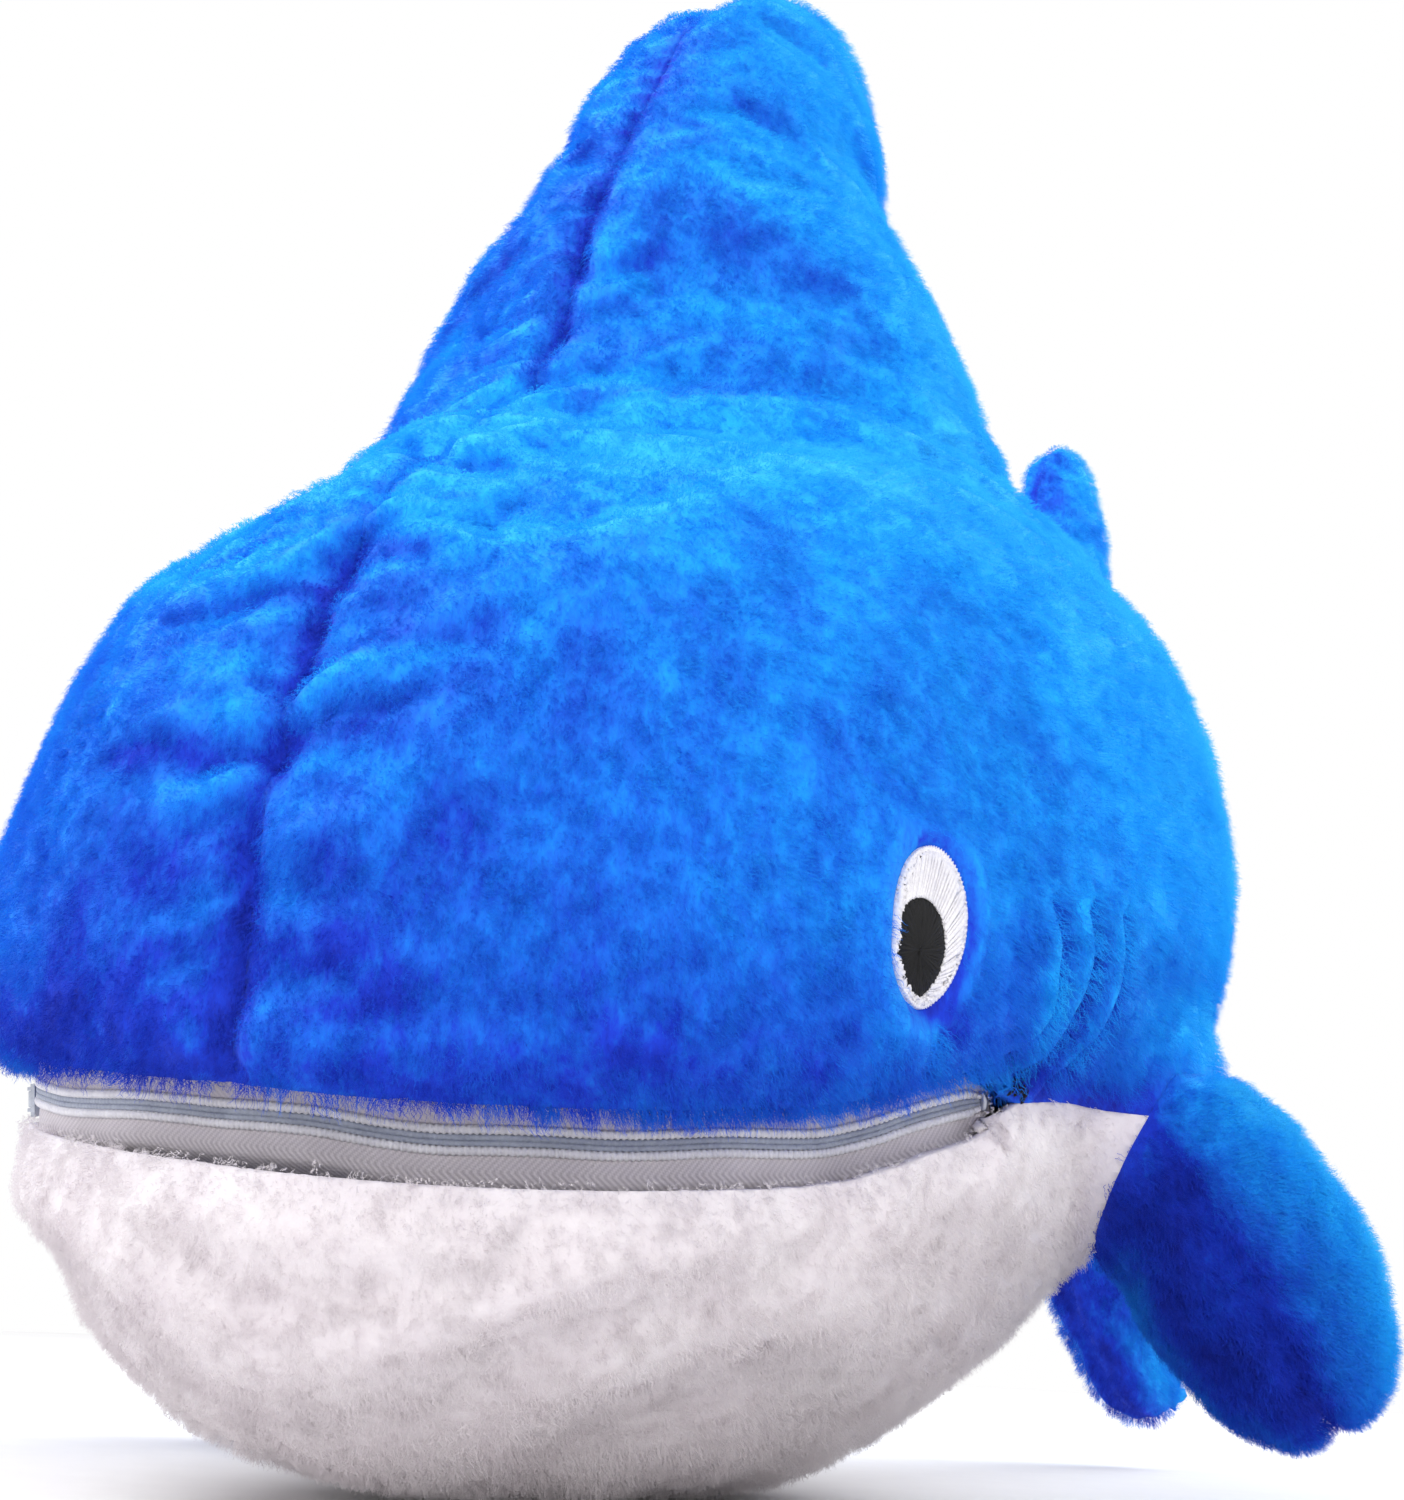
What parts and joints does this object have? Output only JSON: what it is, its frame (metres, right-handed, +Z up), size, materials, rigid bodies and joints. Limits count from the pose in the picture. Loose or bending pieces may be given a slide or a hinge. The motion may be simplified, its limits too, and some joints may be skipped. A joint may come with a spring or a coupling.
{
  "type": "plush shark",
  "caption": "Stuffed plush shark with a zipped mouth pocket, swelling dorsal fin, puffed side fins and a two-lobed tail, resting on its belly.",
  "frame": {"origin": "on the floor under the belly's resting patch", "axes": "+Z up, nose towards -Y, the shark's left side towards +X"},
  "size_m": [0.4044, 0.5317, 0.478],
  "materials": {
    "blue_plush": "long soft pile",
    "white_plush": "short soft pile",
    "fibre_fill": "loose polyester fibre",
    "lining_cloth": "plain woven lining",
    "zip_tape": "herringbone woven tape",
    "zip_coil": "satin nylon coil",
    "zip_metal": "satin plated",
    "eye_white_thread": "satin stitch",
    "eye_black_thread": "satin stitch",
    "dark_blue_thread": "sewing thread",
    "black_thread": "sewing thread"
  },
  "bodies": {
    "torso": {"side_panel_left": "blue_plush", "side_panel_right": "blue_plush", "belly_panel": "white_plush", "dorsal_stuffing": "fibre_fill", "head_stuffing": "fibre_fill", "body_stuffing": "fibre_fill", "pocket_lining_upper": "lining_cloth", "zip_tape_upper": "zip_tape", "zip_coil_upper": "zip_coil", "zip_end_stops": "zip_metal", "eye_white_left": "eye_white_thread", "eye_white_right": "eye_white_thread", "eye_pupil_left": "eye_black_thread", "eye_pupil_right": "eye_black_thread", "gill_stitches_left": "dark_blue_thread", "gill_stitches_right": "dark_blue_thread", "mouth_tack_left": "black_thread", "mouth_tack_right": "black_thread"},
    "jaw": {"chin_panel": "white_plush", "jaw_stuffing": "fibre_fill", "pocket_lining_lower": "lining_cloth", "zip_tape_lower": "zip_tape", "zip_coil_lower": "zip_coil"},
    "slider": {"zip_slider": "zip_metal"},
    "pull": {"zip_pull": "zip_metal"},
    "tail": {"tail_panel_left": "blue_plush", "tail_panel_right": "blue_plush", "tail_stuffing": "fibre_fill"},
    "fin_left": {"fin_panel_upper_left": "blue_plush", "fin_panel_lower_left": "blue_plush", "fin_stuffing_left": "fibre_fill"},
    "fin_right": {"fin_panel_upper_right": "blue_plush", "fin_panel_lower_right": "blue_plush", "fin_stuffing_right": "fibre_fill"}
  },
  "joints": [
    {"name": "mouth_open", "type": "hinge", "parent": "torso", "child": "jaw", "pos_m": [0, -0.089, 0.0967], "axis": [1, 0, 0], "range_deg": [0, 12], "stiffness_Nm_per_rad": 1, "springref_deg": -8.59},
    {"name": "zip_slide", "type": "hinge", "parent": "torso", "child": "slider", "pos_m": [0, -0.0525, 0.104], "axis": [0, -0.1961, 0.9806], "range_deg": [0, 143]},
    {"name": "pull_swing", "type": "hinge", "parent": "slider", "child": "pull", "pos_m": [-0.14452, -0.09992, 0.09452], "axis": [0, -0.1961, 0.9806], "range_deg": [0, 150]},
    {"name": "tail_swing", "type": "hinge", "parent": "torso", "child": "tail", "pos_m": [0, 0.225, 0.187], "axis": [0, 0, 1], "range_deg": [-5, 65], "stiffness_Nm_per_rad": 0.6},
    {"name": "fin_left_flap", "type": "hinge", "parent": "torso", "child": "fin_left", "pos_m": [0.15, 0, 0.106], "axis": [-0.1052, 0.9929, -0.0559], "range_deg": [-25, 3], "stiffness_Nm_per_rad": 0.4},
    {"name": "fin_right_flap", "type": "hinge", "parent": "torso", "child": "fin_right", "pos_m": [-0.15, 0, 0.106], "axis": [-0.1052, -0.9929, 0.0559], "range_deg": [-25, 3], "stiffness_Nm_per_rad": 0.4}
  ]
}
